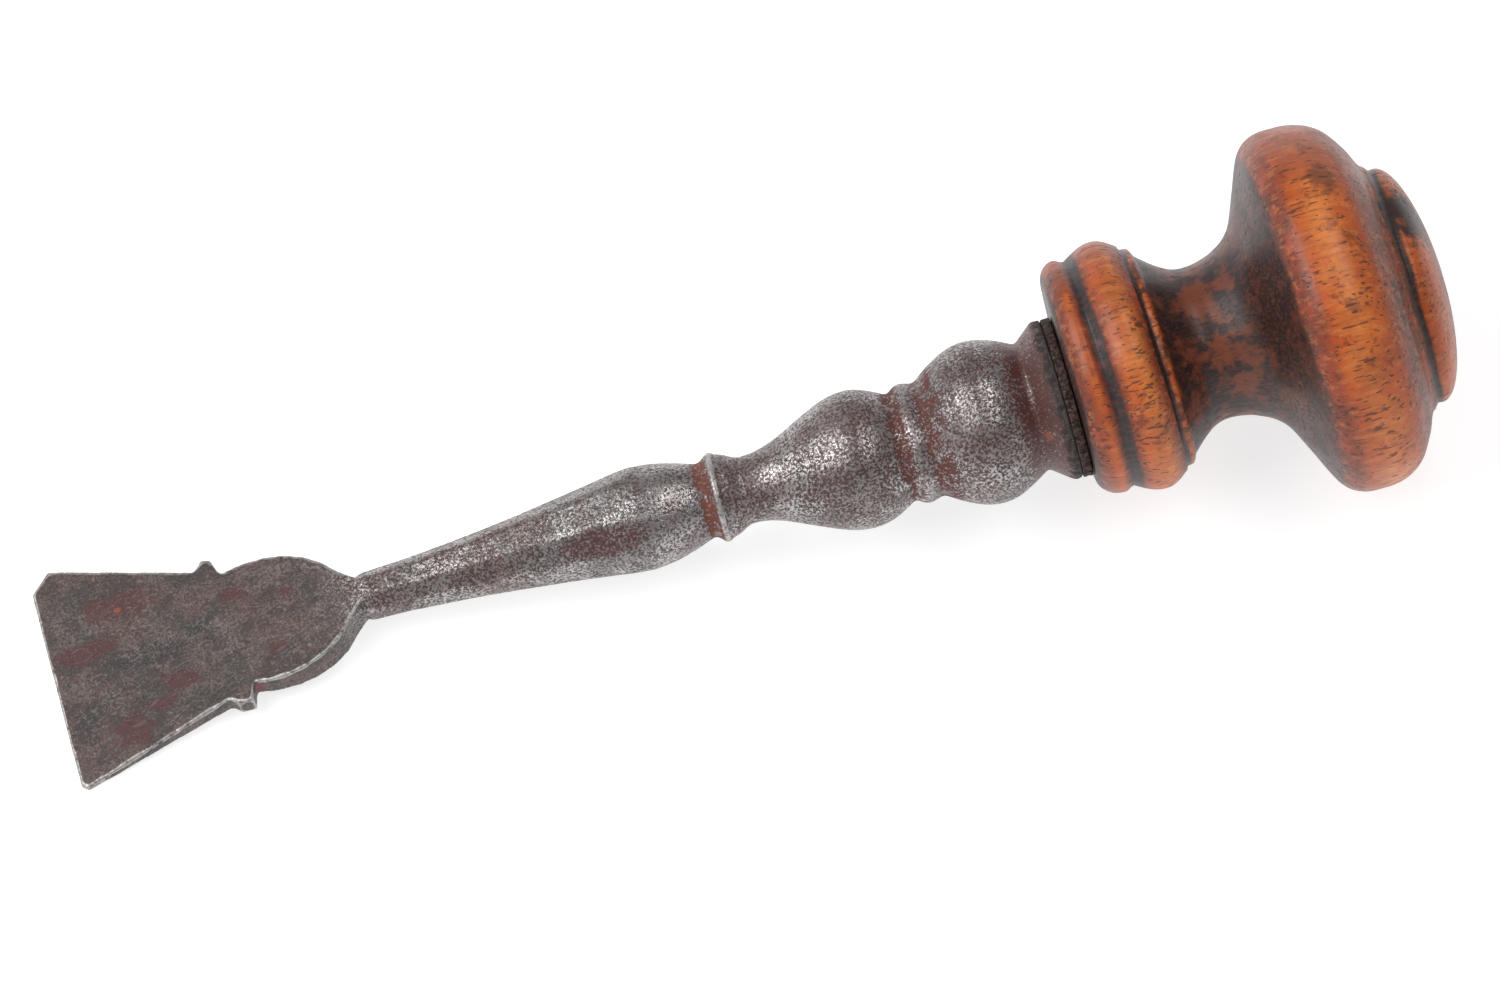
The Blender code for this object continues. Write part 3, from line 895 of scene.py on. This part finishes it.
def wood_ground(g, along, wavy):
    """The varnish's colour from the nose to the boss: orange crests, red flanks, dark hollows, and
    painted shade darkening the nose's face by the washer.
    """
    orange = (0.50, 0.103, 0.016)
    tan = (0.64, 0.190, 0.036)
    red = (0.165, 0.028, 0.011)
    umber = (0.060, 0.018, 0.011)
    cove = (0.150, 0.052, 0.026)
    # Dark grime, also used as painted shade on the nose's face by the washer
    grime_and_shade = (0.020, 0.011, 0.010)
    grey = (0.016, 0.013, 0.015)
    stops = [
        # The stops from 48.6 to 49.0 are painted shade on the nose's face, which turns towards the
        # washer.
        (48.6, grime_and_shade), (49.0, grime_and_shade), (49.9, red), (51.0, orange), (51.5, orange), (52.3, red),
        (52.7, grey), (53.8, grey), (54.2, red), (55.4, orange), (58.2, tan), (59.9, red),
        (60.25, grime_and_shade), (60.75, grime_and_shade), (60.95, orange), (61.6, orange), (62.2, grime_and_shade),
        (79.3, grime_and_shade), (80.3, red), (81.3, red), (82.8, orange), (85.4, tan), (89.5, orange),
        (91.7, red), (92.7, umber), (93.5, cove), (94.2, cove), (94.6, grime_and_shade), (95.3, grime_and_shade),
        (95.7, orange), (98.2, orange), (99.8, red),
    ]
    zones = g.ramp(wavy, [(place_along(x), colour) for x, colour in stops])
    waist = g.band(along, *map(place_along, WAIST_STRETCH), 0.008)
    worn = g.step(g.noise(6.5, 5, 0.68, shift=4), 0.47, 0.57)
    worn = g.both(worn, g.step(along, *map(place_along, WORN_WAIST_END), 0.78, 0.22))
    colour = g.blend(waist, zones, g.blend(worn, grime_and_shade, (0.185, 0.046, 0.019)))

    hollows = g.band(wavy, *map(place_along, GROOVE_STRETCH), 0.004)
    for stretch in OTHER_HOLLOWS:
        hollows = g.either(hollows, g.band(wavy, *map(place_along, stretch), 0.003))
    crest = g.both(g.outside(waist), g.outside(hollows))
    return colour, crest, grime_and_shade


def wood_flecks(g, wobble):
    """Short dark ray flecks that crowd in places, and a few long lines."""
    crowd = g.both(g.math("SUBTRACT", g.noise(9.0, 3, 0.6, shift=50), 0.51), 0.30)
    fleck = g.noise(0.46, 1.5, 0.5, stretch=(6.5, 1, 1), shift=40)
    short = g.noise(0.42, 2, 0.5, stretch=(4.0, 1, 1), shift=140)
    line = g.noise(0.6, 1, 0.4, stretch=(13, 1, 1), shift=60)
    marks = g.step(g.math("ADD", fleck, crowd), 0.63, 0.68)
    marks = g.either(marks, g.step(g.math("ADD", short, crowd), 0.64, 0.69))
    marks = g.either(marks, g.step(line, 0.70, 0.73))
    for centre, size in LONG_LINES:
        marks = g.either(marks, g.spot(centre, size, g.both(wobble, 0.3)))
    return marks


def wood_material():
    """Varnished beech: orange crests, red-brown flanks, dark hollows, painted shade on the nose by the
    washer, dark ray flecks.
    """
    g = Graph("varnished_beech")
    along = g.attribute("along")
    wobble = g.wobble(2.4)
    drift = g.math("SUBTRACT", g.noise(7.0, 4, 0.65), 0.5)
    colour, crest, grime_and_shade = wood_ground(g, along, g.raised(along, drift, 0.022))

    cloud = g.step(g.noise(9.0, 4, 0.65, shift=15), 0.42, 0.62)
    far = g.step(g.raised(g.y, wobble, 5.0), 6.0, 17.0)
    ember = g.step(g.noise(3.6, 4, 0.7, shift=27), 0.48, 0.60)
    scorch = g.step(g.noise(2.6, 4, 0.72, shift=33), 0.55, 0.66)
    colour = g.tint(colour, g.both(cloud, crest), 0.48, (0.24, 0.045, 0.014))
    colour = g.tint(colour, g.both(far, crest), 0.72, (0.190, 0.032, 0.011))
    colour = g.tint(colour, g.both(ember, crest), 0.38, (0.44, 0.062, 0.013))
    colour = g.tint(colour, g.both(scorch, crest), 0.58, (0.095, 0.016, 0.009))
    chipped = g.step(g.noise(3.0, 4, 0.7, shift=71), 0.46, 0.54)
    chipped = g.both(g.band(along, *map(place_along, CHIPPED_RING), 0.003), chipped)
    colour = g.tint(colour, chipped, 0.8, grime_and_shade)
    fibre = g.noise(0.62, 3, 0.65, stretch=(12, 1, 1), shift=2)
    colour = g.tint(colour, g.step(fibre, 0.46, 0.64), 0.30, (0.20, 0.045, 0.016))
    pale = g.step(g.noise(0.9, 3, 0.6, stretch=(8, 1, 1), shift=90), 0.50, 0.66)
    colour = g.tint(colour, g.both(pale, crest), 0.22, (0.66, 0.27, 0.090))

    marks = wood_flecks(g, wobble)
    colour = g.tint(colour, marks, 0.78, (0.060, 0.024, 0.016))
    for centre, size, amount in WOOD_STAINS:
        colour = g.tint(colour, g.spot(centre, size, wobble), amount, (0.030, 0.018, 0.016))

    gloss = g.step(g.noise(6.0, 4, 0.7, shift=80), 0.3, 0.7, 0.36, 0.48)
    g.bumps(g.math("ADD", g.both(marks, -0.6), g.both(fibre, 0.35)), 0.4, 0.00025)
    rough = g.level(marks, gloss, 0.65)
    return g.finish(colour, rough, Coat_Weight=0.15, Coat_Roughness=0.3, Specular_IOR_Level=0.35)


def leather_material():
    """Nearly black, cracked leather with pale dust in the cracks."""
    g = Graph("cracked_leather")
    crack = g.noise(0.5, 4, 0.7, shift=6)
    dust = g.step(g.noise(0.25, 2, 0.6, stretch=(3, 1, 1), shift=17), 0.68, 0.74)
    colour = g.blend(g.step(crack, 0.42, 0.60), (0.016, 0.010, 0.008), (0.105, 0.058, 0.045))
    colour = g.tint(colour, dust, 0.7, (0.42, 0.38, 0.34))
    g.bumps(crack, 0.8, 0.0004)
    return g.finish(colour, g.step(crack, 0.3, 0.7, 0.55, 0.85), Specular_IOR_Level=0.25)


def pitch_material():
    """Hard black resin, mottled and slightly glossy."""
    g = Graph("hard_pitch")
    mottle = g.plain_noise(600.0, 4.0)
    colour = g.blend(mottle, (0.018, 0.012, 0.010), (0.050, 0.032, 0.022))
    g.bumps(mottle, 0.4, 0.0003)
    return g.finish(colour, g.step(mottle, 0.3, 0.7, 0.25, 0.5))


def floor_material():
    """Pale paper, with the faintest tooth."""
    g = Graph("pale_paper")
    tooth = g.plain_noise(40.0, 3.0)
    colour = g.blend(tooth, (0.50, 0.50, 0.51), (0.52, 0.52, 0.525))
    g.shader.inputs["Emission Color"].default_value = (1.0, 1.0, 1.0, 1.0)
    return g.finish(colour, 0.9, Specular_IOR_Level=0.1, Emission_Strength=0.74)


# ---------------------------------------------------------------------------
# Floor, light and camera
# ---------------------------------------------------------------------------

def make_floor():
    half = FLOOR_HALF_SIZE
    corners = [(-half, -half, 0), (half, -half, 0), (half, half, 0), (-half, half, 0)]
    mesh = bpy.data.meshes.new("floor")
    mesh.from_pydata(corners, [], [(0, 1, 2, 3)])
    mesh.materials.append(floor_material())
    floor = bpy.data.objects.new("floor", mesh)
    bpy.context.scene.collection.objects.link(floor)


def softbox(name, direction, size, watts):
    """A rectangular lamp that looks at the tool; its first size runs across the tool."""
    data = bpy.data.lights.new(name, "AREA")
    data.shape = "RECTANGLE"
    data.size, data.size_y = size
    data.energy = watts
    lamp = bpy.data.objects.new(name, data)
    away = Vector(direction).normalized()
    lamp.location = away * SOFTBOX_DISTANCE
    lamp.rotation_mode = "QUATERNION"
    lamp.rotation_quaternion = away.to_track_quat("Z", "Y")
    bpy.context.scene.collection.objects.link(lamp)


def make_light():
    """A studio that is bright round the horizon and dim overhead, and two softboxes."""
    world = bpy.data.worlds.new("studio")
    world.use_nodes = True
    tree = world.node_tree
    where = tree.nodes.new("ShaderNodeTexCoord")
    split = tree.nodes.new("ShaderNodeSeparateXYZ")
    fall = tree.nodes.new("ShaderNodeMapRange")
    fall.interpolation_type = "SMOOTHSTEP"
    for name, value in (("From Min", 0.10), ("From Max", 0.62), ("To Min", 0.85), ("To Max", 0.13)):
        fall.inputs[name].default_value = value
    backdrop = tree.nodes["Background"]
    backdrop.inputs["Color"].default_value = (0.97, 0.98, 1.0, 1.0)
    tree.links.new(where.outputs["Generated"], split.inputs[0])
    tree.links.new(split.outputs["Z"], fall.inputs["Value"])
    tree.links.new(fall.outputs["Result"], backdrop.inputs["Strength"])
    bpy.context.scene.world = world
    softbox("left_softbox", (-0.60, 0.05, 0.79), (0.80, 0.46), 5.6)
    softbox("right_softbox", (0.30, 0.00, 0.95), (0.80, 0.18), 2.0)


def make_camera():
    azimuth, elevation = math.radians(AZIMUTH), math.radians(ELEVATION)
    back = Vector((
        math.sin(azimuth) * math.cos(elevation),
        -math.cos(azimuth) * math.cos(elevation),
        math.sin(elevation),
    ))
    turn = back.to_track_quat("Z", "Y")
    right, up = turn @ Vector((1, 0, 0)), turn @ Vector((0, 1, 0))
    data = bpy.data.cameras.new("camera")
    data.sensor_width = 36.0
    data.lens = FOCAL_LENGTH
    data.clip_start, data.clip_end = 0.05, 20.0
    camera = bpy.data.objects.new("camera", data)
    camera.rotation_mode = "QUATERNION"
    camera.rotation_quaternion = turn
    camera.location = right * AIM_RIGHT + up * AIM_UP + back * CAMERA_DISTANCE
    bpy.context.scene.collection.objects.link(camera)
    bpy.context.scene.camera = camera
    bpy.context.scene.view_settings.view_transform = "Standard"


# ---------------------------------------------------------------------------
# The model
# ---------------------------------------------------------------------------

def build():
    iron = make_iron()
    place(iron, work_iron(iron), "blade_and_shank", iron_material())
    handle, along, inner = make_handle()
    place(handle, work_handle(handle, along, inner), "handle", wood_material())
    washer = make_washer()
    place(washer, work_washer(washer), "seat_washer", leather_material())
    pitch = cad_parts["tang_pitch"]
    pitch.data.materials.clear()
    pitch.data.materials.append(pitch_material())
    make_floor()
    make_light()
    make_camera()


build()
